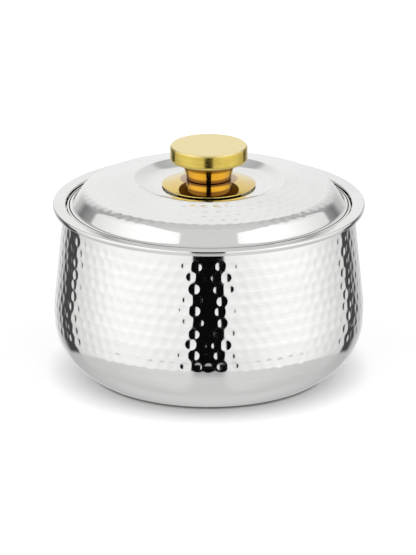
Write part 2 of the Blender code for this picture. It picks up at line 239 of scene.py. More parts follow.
# %% Studio: the ceiling's level
CEILING_FRONT_LEVEL = 0.68
CEILING_BACK_LEVEL = 0.62
ceiling_level = add_node(studio, "ShaderNodeMapRange",
                         [azimuth, 40.0, 130.0, CEILING_FRONT_LEVEL, CEILING_BACK_LEVEL], **SMOOTH)
corner_start = add_node(studio, "ShaderNodeMapRange", [azimuth, 118.0, 136.0, 0.0, 1.0], **SMOOTH)
corner_end = add_node(studio, "ShaderNodeMapRange", [azimuth, 158.0, 176.0, 1.0, 0.0], **SMOOTH)
corner_shade = add_node(studio, "ShaderNodeMapRange", [elevation, 42.0, 66.0, 0.17, 0.0], **SMOOTH)
in_corner = add_node(studio, "ShaderNodeMath", [corner_start, corner_end], operation="MULTIPLY")
ceiling_shade = add_node(studio, "ShaderNodeMath", [in_corner, corner_shade], operation="MULTIPLY")
ceiling = add_node(studio, "ShaderNodeMath", [ceiling_level, ceiling_shade], operation="SUBTRACT")
print("levels of the ceiling:", CEILING_FRONT_LEVEL, "in front,", CEILING_BACK_LEVEL, "behind")

# %% Studio: the ceiling's edge
edge_in_front = add_node(studio, "ShaderNodeMapRange", [azimuth, 27.0, 34.0, 45.0, 53.0], **SMOOTH)
edge_climb = add_node(studio, "ShaderNodeMapRange", [azimuth, 34.0, 78.0, 0.0, 7.0], **SMOOTH)
edge_fall = add_node(studio, "ShaderNodeMapRange", [azimuth, 95.0, 140.0, 0.0, 18.0], **SMOOTH)
edge_behind = add_node(studio, "ShaderNodeMapRange", [azimuth, 160.0, 175.0, 0.0, 6.0], **SMOOTH)
edge_front_half = add_node(studio, "ShaderNodeMath", [edge_in_front, edge_climb], operation="ADD")
edge_back_half = add_node(studio, "ShaderNodeMath", [edge_fall, edge_behind], operation="SUBTRACT")
ceiling_edge = add_node(studio, "ShaderNodeMath", [edge_front_half, edge_back_half], operation="SUBTRACT")
ceiling_blur = add_node(studio, "ShaderNodeMapRange", [azimuth, 80.0, 150.0, 1.2, 3.0], **SMOOTH)
above_edge = add_node(studio, "ShaderNodeMath", [elevation, ceiling_edge], operation="SUBTRACT")
past_edge = add_node(studio, "ShaderNodeMath", [above_edge, ceiling_blur], operation="DIVIDE")
in_ceiling = add_node(studio, "ShaderNodeMapRange", [past_edge, -1.0, 1.0, 0.0, 1.0], **SMOOTH)
print("studio nodes with the ceiling:", len(studio.nodes))

# %% [markdown]
# The gap in front is a strip with upright edges, so its sides are set by the direction's x part and not by
# an angle. Its middle lies a very little to the left. The table is white paper in the panels' light, and
# darker where it lies under the gap.

# %% Studio: the gap in front
GAP_LEVEL = 0.003
gap_left = add_node(studio, "ShaderNodeMapRange", [parts["X"], -0.216, -0.200, 0.0, 1.0], **SMOOTH)
gap_right = add_node(studio, "ShaderNodeMapRange", [parts["X"], 0.187, 0.203, 1.0, 0.0], **SMOOTH)
in_front = add_node(studio, "ShaderNodeMapRange", [towards_camera, -0.02, 0.02, 0.0, 1.0], **SMOOTH)
gap_strip = add_node(studio, "ShaderNodeMath", [gap_left, gap_right], operation="MULTIPLY")
in_gap = add_node(studio, "ShaderNodeMath", [gap_strip, in_front], operation="MULTIPLY")
walls = add_node(studio, "ShaderNodeMix", {0: in_gap, 2: sides, 3: GAP_LEVEL})
print("level in the gap:", GAP_LEVEL)

# %% Studio: the table
table_front = add_node(studio, "ShaderNodeMapRange", [elevation, -46.0, -30.0, 0.63, 0.40], **SMOOTH)
table_sides = add_node(studio, "ShaderNodeMapRange", [azimuth, 30.0, 115.0, 0.72, 0.60], **SMOOTH)
table_behind = add_node(studio, "ShaderNodeMapRange", [elevation, -66.0, -30.0, 0.67, 0.50], **SMOOTH)
in_middle = add_node(studio, "ShaderNodeMapRange", [sideways, 0.13, 0.22, 1.0, 0.0], **SMOOTH)
under_gap = add_node(studio, "ShaderNodeMath", [in_middle, in_front], operation="MULTIPLY")
at_back = add_node(studio, "ShaderNodeMapRange", [azimuth, 112.0, 132.0, 0.0, 1.0], **SMOOTH)
table_round = add_node(studio, "ShaderNodeMix", {0: at_back, 2: table_sides, 3: table_behind})
table = add_node(studio, "ShaderNodeMix", {0: under_gap, 2: table_round, 3: table_front})
above_table = add_node(studio, "ShaderNodeMapRange", [elevation, -31.0, -28.0, 0.0, 1.0], **SMOOTH)
below_ceiling = add_node(studio, "ShaderNodeMix", {0: above_table, 2: table, 3: walls})
room = add_node(studio, "ShaderNodeMix", {0: in_ceiling, 2: below_ceiling, 3: ceiling})
print("studio nodes:", len(studio.nodes))

# %% [markdown]
# The camera itself sees a plain white background. Only its own rays see that white: reflections keep the
# room, whose backdrop is white paper too, a little darker.

# %% Studio: what the camera sees
WHITE_LEVEL = 1.0
light_path = add_node(studio, "ShaderNodeLightPath").outputs
seen_level = add_node(studio, "ShaderNodeMix", {0: light_path["Is Camera Ray"], 2: room, 3: WHITE_LEVEL})
background = add_node(studio, "ShaderNodeBackground", {"Color": seen_level})
add_node(studio, "ShaderNodeOutputWorld", {"Surface": background})
print("background level for the camera:", WHITE_LEVEL)

# %% [markdown]
# A white floor lies all round the pot. What the pot's lower wall mirrors of it is already in the room's
# levels above, so mirrors don't see this sheet. A little light of its own lifts the paper to full white
# for the camera. It fades out near the pot, so the soft shadow round the foot is partly real shadow and
# partly painted shadow.

# %% Floor
WHITE_PAPER = "#FAFAFA"
paper_glow = 0.36
floor_half_width = 3000 * MM
floor_height = -0.6 * MM
shadow_radius = 94 * MM
clear_radius = 122 * MM

paper, paper_tree = empty_material("matt_white_paper")
paper_rays = add_node(paper_tree, "ShaderNodeLightPath").outputs
mirror_rays = add_node(paper_tree, "ShaderNodeMath",
                       [paper_rays["Is Glossy Ray"], paper_rays["Is Transmission Ray"]],
                       operation="MAXIMUM")
seen_rays = add_node(paper_tree, "ShaderNodeMath", [paper_rays["Is Camera Ray"], mirror_rays],
                     operation="MAXIMUM")
paper_place = add_node(paper_tree, "ShaderNodeTexCoord").outputs["Object"]
from_pot = add_node(paper_tree, "ShaderNodeVectorMath", [paper_place], operation="LENGTH").outputs["Value"]
# Painted shadow: the paper's own light fades out near the pot.
clear_of_pot = add_node(paper_tree, "ShaderNodeMapRange",
                        {"Value": from_pot, "From Min": shadow_radius, "From Max": clear_radius,
                         "To Max": paper_glow})
glow = add_node(paper_tree, "ShaderNodeMath", [seen_rays, clear_of_pot], operation="MULTIPLY")
paper_shader = add_node(paper_tree, "ShaderNodeBsdfPrincipled",
                        {"Base Color": linear(WHITE_PAPER), "Roughness": 1.0, "Specular IOR Level": 0.0,
                         "Emission Color": linear("#FFFFFF"), "Emission Strength": glow})
add_node(paper_tree, "ShaderNodeOutputMaterial", {"Surface": paper_shader})

square = np.array([(-1, -1), (1, -1), (1, 1), (-1, 1)]) * floor_half_width
floor_mesh = bpy.data.meshes.new("floor")
floor_mesh.from_pydata(np.column_stack([square, np.full(4, floor_height)]).tolist(), [], [[0, 1, 2, 3]])
floor_mesh.materials.append(paper)
floor = bpy.data.objects.new("floor", floor_mesh)
bpy.context.scene.collection.objects.link(floor)
floor.visible_glossy = False
floor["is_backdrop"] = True
print("floor is", round(2 * floor_half_width / MM), "mm wide")

# %% [markdown]
# A spun piece is drawn as half of its cross-section: a line of (radius, height) points. Three steps make
# every sheet-metal piece. First the bends are rounded. Then the line gets more points where the shading
# needs them. Last, a copy moved sideways by the sheet's thickness closes it into a thin outline. Bevel and
# Solidify modifiers could do this, but worked out on the line it is exact and costs nothing.

# %% Outlines


def rounded(corners, steps=8):
    """
    A line with its corners rounded. A corner is (radius, height) or (radius, height, bend). The bend is the
    conic of its two tangent points and the corner, where the corner weighs as much as the cosine of half
    the turn, which is an exact arc of a circle.
    """
    line = [np.array(corners[:1])[:, :2]]
    share = np.linspace(0.0, 1.0, steps + 1)[:, None]
    for before, corner, after in zip(corners, corners[1:], corners[2:]):
        middle_point = np.array(corner[:2])
        if len(corner) == 2:
            line.append(middle_point[None, :])
            continue
        back = np.array(before[:2]) - middle_point
        ahead = np.array(after[:2]) - middle_point
        back_length, ahead_length = np.linalg.norm(back), np.linalg.norm(ahead)
        inside = math.acos(np.clip(back @ ahead / (back_length * ahead_length), -1, 1))
        reach = min(corner[2] / math.tan(inside / 2), back_length / 2, ahead_length / 2)
        start = middle_point + back * reach / back_length
        end = middle_point + ahead * reach / ahead_length
        weights = [(1 - share) ** 2, 2 * share * (1 - share) * math.sin(inside / 2), share ** 2]
        mixed = weights[0] * start + weights[1] * middle_point + weights[2] * end
        line.append(mixed / sum(weights))
    line.append(np.array(corners[-1:])[:, :2])
    return np.vstack(line)


def divided(line, longest):
    """The line with points added so that no step is longer than the given length. Its own points stay."""
    steps = np.maximum(np.ceil(np.linalg.norm(np.diff(line, axis=0), axis=1) / longest), 1).astype(int)
    places = [np.arange(count) / count + number for number, count in enumerate(steps)]
    places = np.concatenate([*places, [len(line) - 1]])
    numbers = np.arange(len(line))
    return np.column_stack([np.interp(places, numbers, line[:, 0]), np.interp(places, numbers, line[:, 1])])


def beside(line, distance):
    """The line moved sideways, to its left for a positive distance, with mitred corners."""
    ahead = np.diff(line, axis=0)
    ahead /= np.linalg.norm(ahead, axis=1)[:, None]
    left = np.column_stack([-ahead[:, 1], ahead[:, 0]])
    before, after = np.vstack([left[:1], left]), np.vstack([left, left[-1:]])
    mitre = (before + after) / (1 + np.sum(before * after, axis=1))[:, None]
    return line + mitre * distance


print("arc test:", rounded([(0, 0), (1, 0, 0.5), (1, 1)], 2).round(3).tolist())

# %% [markdown]
# The spinning itself is one function of two parameters: the place along the outline and the angle round
# the axis. Both come as whole arrays. Hammer marks are handed in as a depth for every point of that grid
# and push it inward, square to the outline. Ends that lie on the axis are closed by a ring of triangles,
# and all faces point out of the metal.

# %% Spinning an outline into a piece
ON_AXIS = 0.001 * MM
PLAIN_COLUMNS = 256


def turned(name, outline, columns, dents=None):
    """
    The surface (r cos a, r sin a, z), where (r, z) runs along the outline and a round the axis. With dents,
    r and z first move inward, square to the outline, by the dent's depth at that point.
    """
    r, z = outline.T
    if np.sum(r * np.roll(z, -1) - np.roll(r, -1) * z) < 0:
        outline = outline[::-1]
        dents = None if dents is None else dents[::-1]
    off_axis = outline[:, 0] > ON_AXIS
    rings = outline[off_axis]
    count = len(rings)
    opened = not off_axis.all()
    ends = (rings[:1], rings[-1:]) if opened else (rings[-1:], rings[:1])
    along = np.vstack([rings[1:], ends[1]]) - np.vstack([ends[0], rings[:-1]])
    outward = np.column_stack([along[:, 1], -along[:, 0]]) / np.linalg.norm(along, axis=1)[:, None]
    depth = np.zeros((count, columns)) if dents is None else dents[off_axis]
    radius = rings[:, :1] - depth * outward[:, :1]
    height = rings[:, 1:] - depth * outward[:, 1:]
    angles = np.arange(columns) * math.tau / columns
    points = np.stack([radius * np.cos(angles), radius * np.sin(angles), height], axis=-1).reshape(-1, 3)

    i = np.arange(count - 1 if opened else count)[:, None]
    j = np.arange(columns)[None, :]
    next_i, next_j = (i + 1) % count, (j + 1) % columns
    quads = np.stack([i * columns + j, i * columns + next_j,
                      next_i * columns + next_j, next_i * columns + j], axis=-1).reshape(-1)
    starts = np.arange(len(quads) // 4) * 4
    loops = [quads]
    if opened:
        poles = [outline[0] if not off_axis[0] else None, outline[-1] if not off_axis[-1] else None]
        j, next_j = j[0], next_j[0]
        for pole, row, flip in ((poles[0], 0, -1), (poles[1], count - 1, 1)):
            if pole is None:
                continue
            tip = np.full(columns, len(points))
            points = np.vstack([points, [0.0, 0.0, pole[1]]])
            fan = np.stack([row * columns + j, row * columns + next_j, tip], axis=-1)[:, ::flip]
            starts = np.concatenate([starts, np.arange(columns) * 3 + sum(map(len, loops))])
            loops.append(fan.reshape(-1))
    return into_mesh(name, points, np.concatenate(loops), starts)


def into_mesh(name, points, loops, starts, sharp_angle=30.0):
    """A smooth-shaded mesh from points, the point numbers of all faces in a row, and each face's start."""
    mesh = bpy.data.meshes.new(name)
    mesh.vertices.add(len(points))
    mesh.vertices.foreach_set("co", points.astype(np.float32).ravel())
    mesh.loops.add(len(loops))
    mesh.loops.foreach_set("vertex_index", loops.astype(np.int32))
    mesh.polygons.add(len(starts))
    mesh.polygons.foreach_set("loop_start", starts.astype(np.int32))
    mesh.update(calc_edges=True)
    mesh.validate()
    mesh.shade_smooth()
    mesh.set_sharp_from_angle(angle=math.radians(sharp_angle))
    return mesh


def fitted(mesh, body, node, material):
    """The finished piece: it rides on its body, stands for its CAD node, and takes its slot's finish."""
    mesh.materials.append(material)
    piece = bpy.data.objects.new(mesh.name, mesh)
    bpy.context.scene.collection.objects.link(piece)
    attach(piece, body)
    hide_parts(node)
    corners = np.empty(len(mesh.vertices) * 3, dtype=np.float32)
    mesh.vertices.foreach_get("co", corners)
    size = np.ptp(corners.reshape(-1, 3), axis=0) / MM
    triangles = len(mesh.loops) - 2 * len(mesh.polygons)
    print(f"{mesh.name}: {size.round(1).tolist()} mm, {triangles} triangles")
    return piece


print("columns of a plain piece:", PLAIN_COLUMNS)

# %% [markdown]
# The steel is common 18/8 stainless sheet, spun to shape and then polished on a wheel while it turns. To
# the eye it is nearly a mirror. Its polish leaves lines that run round the piece, a tenth of a millimetre
# apart, and hands and cloths leave soft, larger patches that are a little duller. The lines would be far
# too fine to show here, so they are drawn about 1 mm apart. Both act on the roughness, and the lines also
# on the bump, by less than a micrometre. Rings come from a noise that reads the distance from the axis and
# the height, with only a trace of x and y, so it hardly changes on the way round.

# %% Material: spun metal
DRIFT_ROUND = 0.01
DULL_START = 0.15
DULL_END = 0.38


def object_place(tree):
    """The shaded point in the piece's own coordinates, its distance from the axis, and its height."""
    place = add_node(tree, "ShaderNodeTexCoord").outputs["Object"]
    flat_place = add_node(tree, "ShaderNodeVectorMath", [place, (1.0, 1.0, 0.0)], operation="MULTIPLY")
    distance = add_node(tree, "ShaderNodeVectorMath", [flat_place], operation="LENGTH").outputs["Value"]
    height = add_node(tree, "ShaderNodeSeparateXYZ", [place]).outputs["Z"]
    return place, distance, height


def spun_metal(name, colour, dull_colour, roughness, dull_roughness, line_width, line_depth, patch_size,
               lacquer=0.0):
    """A metal polished on the lathe: rings of the given width, soft duller patches, and a lacquer or none."""
    material, tree = empty_material(name)
    place, distance, height = object_place(tree)
    ring_place = add_node(tree, "ShaderNodeCombineXYZ", [distance, height])
    drift = add_node(tree, "ShaderNodeVectorMath", [place, (DRIFT_ROUND, DRIFT_ROUND, 0.0)],
                     operation="MULTIPLY")
    ring_place = add_node(tree, "ShaderNodeVectorMath", [ring_place, drift], operation="ADD")
    rings = add_node(tree, "ShaderNodeTexNoise",
                     {"Vector": ring_place, "Scale": 1 / line_width, "Detail": 3.0})
    patches = add_node(tree, "ShaderNodeTexNoise", {"Vector": place, "Scale": 1 / patch_size, "Detail": 4.0})
    dullness = add_node(tree, "ShaderNodeMath", [rings, patches], operation="MULTIPLY")
    dullness = add_node(tree, "ShaderNodeMapRange",
                        {"Value": dullness, "From Min": DULL_START, "From Max": DULL_END})
    tone = add_node(tree, "ShaderNodeMix", {0: dullness, 6: linear(colour), 7: linear(dull_colour)},
                    data_type="RGBA").outputs[2]
    rough = add_node(tree, "ShaderNodeMix", {0: dullness, 2: roughness, 3: dull_roughness})
    bump = add_node(tree, "ShaderNodeBump", {"Height": rings, "Distance": line_depth, "Strength": 1.0})
    shader = add_node(tree, "ShaderNodeBsdfPrincipled",
                      {"Base Color": tone, "Metallic": 1.0, "Roughness": rough, "Coat Weight": lacquer,
                       "Normal": bump})
    add_node(tree, "ShaderNodeOutputMaterial", {"Surface": shader})
    return material


print("polish lines drift by", DRIFT_ROUND, "of the way round")

# %% [markdown]
# No finish is the same all over a piece. A second tone can be laid over a material wherever a share is 1,
# and the share is worked out from the distance from the axis and the height, with soft ends. So a satin
# band or painted shade in a seam or on the plating is a line or two; the first finish stays as it was
# elsewhere.

# %% Tones laid over a finish
SEAM_SHADE = "#1B1A18"
RING_BLUR = 0.05 * MM
DEPTH_BLUR = 0.15 * MM


def over_tone(material, share, colour, roughness):
    """
    Another tone and roughness laid over a material where the share is 1. A Mix node takes two colours at
    its inputs 6 and 7, and two numbers at 2 and 3.
    """
    tree = material.node_tree
    shader = next(node for node in tree.nodes if node.type == "BSDF_PRINCIPLED")
    for name, value, kind, first, second in (("Base Color", linear(colour), "RGBA", 6, 7),
                                             ("Roughness", roughness, "FLOAT", 2, 3)):
        under = shader.inputs[name].links[0].from_socket
        mix = add_node(tree, "ShaderNodeMix", {0: share, first: under, second: value}, data_type=kind)
        tree.links.new(mix.outputs[2 if kind == "RGBA" else 0], shader.inputs[name])
    return material


def within(tree, value, low, high, blur):
    """A share that is 1 while the value is between two limits, with soft ends."""
    over = add_node(tree, "ShaderNodeMapRange",
                    {"Value": value, "From Min": low - blur, "From Max": low + blur})
    under = add_node(tree, "ShaderNodeMapRange",
                     {"Value": value, "From Min": high - blur, "From Max": high + blur,
                      "To Min": 1.0, "To Max": 0.0})
    return add_node(tree, "ShaderNodeMath", [over, under], operation="MULTIPLY")


def painted_seam_shade(material, ring, depth, colour=SEAM_SHADE):
    """Painted shade in a seam: a dark tone between two radii and between two heights."""
    tree = material.node_tree
    _, distance, height = object_place(tree)
    in_ring = within(tree, distance, *ring, blur=RING_BLUR)
    in_depth = within(tree, height, *depth, blur=DEPTH_BLUR)
    share = add_node(tree, "ShaderNodeMath", [in_ring, in_depth], operation="MULTIPLY")
    return over_tone(material, share, colour, roughness=0.6)


# The seam's tone is painted shade.
print("dirt in linear light:", [round(value, 4) for value in linear(SEAM_SHADE)[:3]])

# %% [markdown]
# The shell and the lid's cover share one finish, and the bowl and the lid's liner share another. The foot
# of the shell is only satin, because the wheel works on the hammered part. Shade is painted in four places:
# the foot's edge on the table, the side and the fold of the lid's hem, and the wall beside the hem. Each
# place is a ring between two radii and a depth between two heights.

# %% Materials: hammered and polished steel
satin_foot_top = 26 * MM
below_the_foot = -10 * MM
foot_edge_ring, foot_edge_depth = (78 * MM, 92 * MM), (-5 * MM, 1.0 * MM)
hem_side_ring, hem_side_depth = (104.2 * MM, 105.0 * MM), (120 * MM, 126.2 * MM)
hem_fold_ring, hem_fold_depth = (102.2 * MM, 103.1 * MM), (127.2 * MM, 128.6 * MM)
step_wall_ring, step_wall_depth = (104.9 * MM, 105.8 * MM), (120 * MM, 126.0 * MM)

hammered_steel = spun_metal("hammered_18_8_stainless_steel", "#F7F7F6", "#F1F1F0",
                            roughness=0.05, dull_roughness=0.09,
                            line_width=1.2 * MM, line_depth=0.00012 * MM, patch_size=40 * MM)
polished_steel = spun_metal("polished_18_8_stainless_steel", "#F5F5F4", "#EDEDEC",
                            roughness=0.06, dull_roughness=0.12,
                            line_width=1.0 * MM, line_depth=0.0008 * MM, patch_size=30 * MM)
_, _, hammered_height = object_place(hammered_steel.node_tree)
on_foot = within(hammered_steel.node_tree, hammered_height, below_the_foot, satin_foot_top, blur=3 * MM)
over_tone(hammered_steel, on_foot, "#F3F3F2", roughness=0.18)
# Painted shadow: a dark ring at the foot's edge, where it stands on the table.
painted_seam_shade(hammered_steel, foot_edge_ring, foot_edge_depth, "#57564C")
# Painted shade: dark lines at the side and the fold of the lid's hem.
painted_seam_shade(hammered_steel, hem_side_ring, hem_side_depth)
painted_seam_shade(hammered_steel, hem_fold_ring, hem_fold_depth)
# Painted shade: the bowl's wall beside the hem, in the gap under the lid.
painted_seam_shade(polished_steel, step_wall_ring, step_wall_depth)
print("steel materials made, satin up to", round(satin_foot_top / MM), "mm")

# %% [markdown]
# The shell of the pot was spun from one sheet: a foot that turns in under the pot, a belly that swells
# fast and then slowly, and a nearly straight cone up to the rim. The belly's curve is a power of the
# height left to the widest place, which keeps its foot steep and its top smooth.

# %% Sizes that the pieces share
sheet = 0.6 * MM
fit = 0.3 * MM
rim_radius = 115.18 * MM
rim_height = 129.5 * MM
flange_foot_height = rim_height - 1.0 * MM
seat_radius = rim_radius - 9.7 * MM
mouth_radius = seat_radius - 8.0 * MM
base_radius = 87.0 * MM
belly_radius = 114.6 * MM
belly_height = 50.0 * MM
belly_blend = 6.0 * MM
belly_power = 3.1
shell_top_radius = seat_radius + sheet + fit + sheet
shell_top_height = flange_foot_height - sheet - fit
print("mouth is", round(2 * mouth_radius / MM, 1), "mm wide")

# %% Outline of the outer shell


def shell_radius(height):
    """
    The belly's radius at a height. Below its widest place: the widest radius less a share of the inset that
    is the power of the way left. Above it: a parabola that runs over into a straight cone.
    """
    left = np.clip(1 - height / belly_height, 0, 1)
    lean = (belly_radius - shell_top_radius) / (shell_top_height - belly_height - belly_blend / 2)
    climb = np.clip(height - belly_height, 0, None)
    blended = np.minimum(climb, belly_blend)
    above = lean * (blended ** 2 / (2 * belly_blend) + climb - blended)
    return belly_radius - (belly_radius - base_radius) * left ** belly_power - above


mark_rows_low = 37.0 * MM
mark_rows_high = 120.0 * MM
foot_bend = 3.0 * MM
foot_ring_width = 7.0 * MM
shell_inside_rows = 14
heights = np.concatenate([
    np.linspace(shell_top_height, mark_rows_high, 4, endpoint=False),
    np.linspace(mark_rows_high, mark_rows_low, 93, endpoint=False),
    np.linspace(mark_rows_low, 3.2 * MM, 13),
])
wall = np.column_stack([shell_radius(heights), heights])
foot = rounded([wall[-1], (base_radius, 0.0, foot_bend), (base_radius - foot_ring_width, 0.0)], 5)
shell_outside = np.vstack([wall[:-1], foot])
shell_inside = beside(shell_outside, -sheet)[::-1]
keep = np.unique(np.round(np.linspace(0, len(shell_inside) - 1, shell_inside_rows)).astype(int))
shell_outline = np.vstack([shell_outside, shell_inside[keep]])
print("rows of the shell:", len(shell_outline))

# %% [markdown]
# The hammer marks are the pot's main ornament. On the real pot a machine presses them, one row at a time,
# so the rows are level and evenly spaced, while each row starts at a place of its own and no mark is
# quite like its neighbour. Each mark is a shallow hollow, part of a large sphere. The edges where hollows
# meet catch the light, and each hollow holds a small upside-down picture of the room. A bump map would
# miss the wavy outline and the way that marks cut into one another, so they are pressed into the mesh.

# %% Hammer marks
ROW_SHIFT = 0.3
SLIDE = 0.055
CLIMB = 0.05
STRONGER = 0.22
WEAKER = 0.28
WIDTH_CHANGE = 0.05


def hammer_marks(along, circles, angles, row_places, row_counts, mark_radius, mark_depth, seed):
    """
    Depth of the marks on a grid of outline places and angles. A mark is a cap of a sphere, nearly: depth
    times (1 - (distance / radius) squared), and the deepest mark wins. Only the three nearest rows and the
    two nearest marks of each can reach a point, so only those are worked out, for all points at once.
    """
    random = np.random.default_rng(seed)
    rows, most = len(row_places), int(max(row_counts))
    phase = np.cumsum(0.5 + random.uniform(-ROW_SHIFT, ROW_SHIFT, rows))
    slide = random.normal(0.0, SLIDE, (rows, most))
    climb = random.normal(0.0, CLIMB, (rows, most)) * mark_radius * 2
    strength = 1 + random.uniform(-WEAKER, STRONGER, (rows, most))
    width = 1 + random.uniform(-WIDTH_CHANGE, WIDTH_CHANGE, (rows, most))
    nearest = np.argmin(np.abs(along[:, None] - row_places[None, :]), axis=1)
    depth = np.zeros((len(along), len(angles)))
    for row_step in (-1, 0, 1):
        row = nearest + row_step
        real = (row >= 0) & (row < rows)
        row = np.clip(row, 0, rows - 1)
        counts = row_counts[row][:, None]
        places = angles[None, :] / math.tau * counts - phase[row][:, None]
        for mark_step in (0, 1):
            number = np.floor(places) + mark_step
            mark = np.mod(number, counts).astype(int)
            across = (places - number - slide[row[:, None], mark]) * circles[:, None] * math.tau / counts
            up = (along - row_places[row])[:, None] - climb[row[:, None], mark]
            reach = mark_radius * width[row[:, None], mark]
            cap = mark_depth * strength[row[:, None], mark] * (1 - (across ** 2 + up ** 2) / reach ** 2)
            depth = np.where(real[:, None], np.maximum(depth, cap), depth)
    return depth


body_columns = 738
body_row_count = 10
first_body_row = 41.5
body_row_step = 8.2
marks_in_body_row = 82
body_rows = (first_body_row + body_row_step * np.arange(body_row_count)) * MM
body_counts = np.full(body_row_count, marks_in_body_row)
body_angles = np.arange(body_columns) * math.tau / body_columns
body_marks = hammer_marks(shell_outside[:, 1], shell_outside[:, 0], body_angles, body_rows, body_counts,
                          mark_radius=3.75 * MM, mark_depth=0.245 * MM, seed=7)
print("deepest mark on the body:", round(body_marks.max() / MM, 3), "mm")

# %% The outer shell
no_marks = np.zeros((len(shell_outline) - len(shell_outside), body_columns))
shell_mesh = turned("hammered_shell", shell_outline, body_columns, np.vstack([body_marks, no_marks]))
fitted(shell_mesh, "pot", "outer_shell", hammered_steel)

# %% [markdown]
# The inner bowl carries the rim. From its rolled edge the sheet runs in over a flange that is slightly
# dished, drops down a small step, and makes the ledge that the lid's hem rests on. Then it becomes the
# bowl: a wall that narrows a little, so that stacked bread slides out, a wide round corner that a ladle
# or a cloth can follow, and a flat floor.

# %% The inner bowl
seat_height = 124.7 * MM
bowl_floor_height = 14.0 * MM
bowl_taper = 3.5 * MM
roll_width = 3.6 * MM
roll_lean = 0.7 * MM
roll_foot_height = rim_height - 4.3 * MM
bowl_columns = 320
bowl_step = 4.0 * MM
bowl_line = rounded([
    (rim_radius - roll_width, roll_foot_height),
    (rim_radius - roll_lean, roll_foot_height, 1.0 * MM),
    (rim_radius, rim_height, 1.4 * MM),
    (seat_radius, flange_foot_height, 0.9 * MM),
    (seat_radius, seat_height, 0.45 * MM),
    (mouth_radius, seat_height, 2.0 * MM),
    (mouth_radius - bowl_taper, bowl_floor_height, 22.0 * MM),
    (0.0, bowl_floor_height),
], 10)
bowl_line = divided(bowl_line, bowl_step)
bowl_outline = np.vstack([bowl_line[::-1], beside(bowl_line, sheet)])
bowl_mesh = turned("inner_bowl_with_rim", bowl_outline, bowl_columns)
fitted(bowl_mesh, "pot", "inner_bowl", polished_steel)

# %% [markdown]
# The lid's cover is one sheet too. Its edge is folded back under itself into a hem, which is the thick
# band seen beside the rim. A flat lip runs in from it, and a steep, smooth shoulder rises to the crown. The
# crown is nearly a flat cone: it climbs gently to a crest, and then drops into a dish that holds the knob,
# so that fingers reach well under it. Marks cover the crown only.

# %% Outline of the lid's cover
lid_radius = seat_radius - 1.0 * MM
lip_height = 127.4 * MM
hem_height = 125.0 * MM
crown_radius = 92.1 * MM
crown_foot_height = lip_height + 12.2 * MM
crest_radius = 55.8 * MM
crest_height = crown_foot_height + 7.5 * MM
recess_radius = 43.4 * MM
recess_height = crest_height - 5.5 * MM
bore_radius = 2.8 * MM
hem_width = 4.0 * MM
hem_bend = 1.1 * MM
lip_width = 3.6 * MM
cover_inside_rows = 18
formed_step = 0.75 * MM
dish_step = 3.0 * MM

cover_line = rounded([
    (lid_radius - hem_width, hem_height),
    (lid_radius, hem_height, hem_bend),
    (lid_radius, lip_height, hem_bend),
    (lid_radius - lip_width, lip_height, 6.0 * MM),
    (crown_radius, crown_foot_height, 12.0 * MM),
    (crest_radius, crest_height, 3.0 * MM),
    (recess_radius, recess_height, 30.0 * MM),
    (bore_radius, recess_height),
], 8)
formed = divided(cover_line[cover_line[:, 0] > crest_radius], formed_step)
dish_floor = divided(cover_line[cover_line[:, 0] <= crest_radius], dish_step)
cover_outside = np.vstack([formed, dish_floor])
cover_inside = beside(cover_outside, sheet)[::-1]
keep = np.unique(np.round(np.linspace(0, len(cover_inside) - 1, cover_inside_rows)).astype(int))
cover_outline = np.vstack([cover_outside, cover_inside[keep]])
print("rows of the cover:", len(cover_outline))

# %% The lid's cover
cover_columns = 660
cover_along = np.concatenate([[0.0], np.cumsum(np.linalg.norm(np.diff(cover_outside, axis=0), axis=1))])
lid_row_count = 6
outermost_lid_row = 90.6
lid_row_step = 6.1
lid_mark_spacing = 8.6 * MM
lid_row_radii = (outermost_lid_row - lid_row_step * np.arange(lid_row_count)) * MM
lid_row_counts = np.round(math.tau * lid_row_radii / lid_mark_spacing).astype(int)
on_crown = cover_outside[:, 1] > lip_height + 0.1 * MM
lid_row_places = np.interp(-lid_row_radii, -cover_outside[on_crown, 0], cover_along[on_crown])
cover_angles = np.arange(cover_columns) * math.tau / cover_columns
cover_marks = hammer_marks(cover_along, cover_outside[:, 0], cover_angles, lid_row_places, lid_row_counts,
                           mark_radius=3.35 * MM, mark_depth=0.16 * MM, seed=11)
no_marks = np.zeros((len(cover_outline) - len(cover_outside), cover_columns))
cover_mesh = turned("hammered_lid_cover", cover_outline, cover_columns, np.vstack([cover_marks, no_marks]))
fitted(cover_mesh, "lid", "lid_cover", hammered_steel)

# %% [markdown]
# The liner closes the lid from below: a shallow pan whose rounded wall goes into the pot's mouth. A well
# in its middle keeps the head of the knob's screw out of the food.

# %% The lid's liner
liner_radius = mouth_radius - 2.0 * MM
liner_edge_radius = lid_radius - sheet - 1.0 * MM
liner_flange_height = 125.9 * MM
liner_columns = 288
liner_step = 5.0 * MM
liner_floor_height = seat_height - 12.5 * MM
well_radius = 13.0 * MM
well_top_height = liner_floor_height + 9.0 * MM
liner_line = rounded([
    (liner_edge_radius, liner_flange_height),
    (liner_radius, liner_flange_height, 1.5 * MM),
    (liner_radius, liner_floor_height, 6.0 * MM),
    (well_radius, liner_floor_height, 1.2 * MM),
    (well_radius, well_top_height, 0.8 * MM),
    (bore_radius, well_top_height),
], 10)
liner_line = divided(liner_line, liner_step)
liner_outline = np.vstack([liner_line, beside(liner_line, -sheet)[::-1]])
liner_mesh = turned("lid_liner_pan", liner_outline, liner_columns)
fitted(liner_mesh, "lid", "lid_liner", polished_steel)
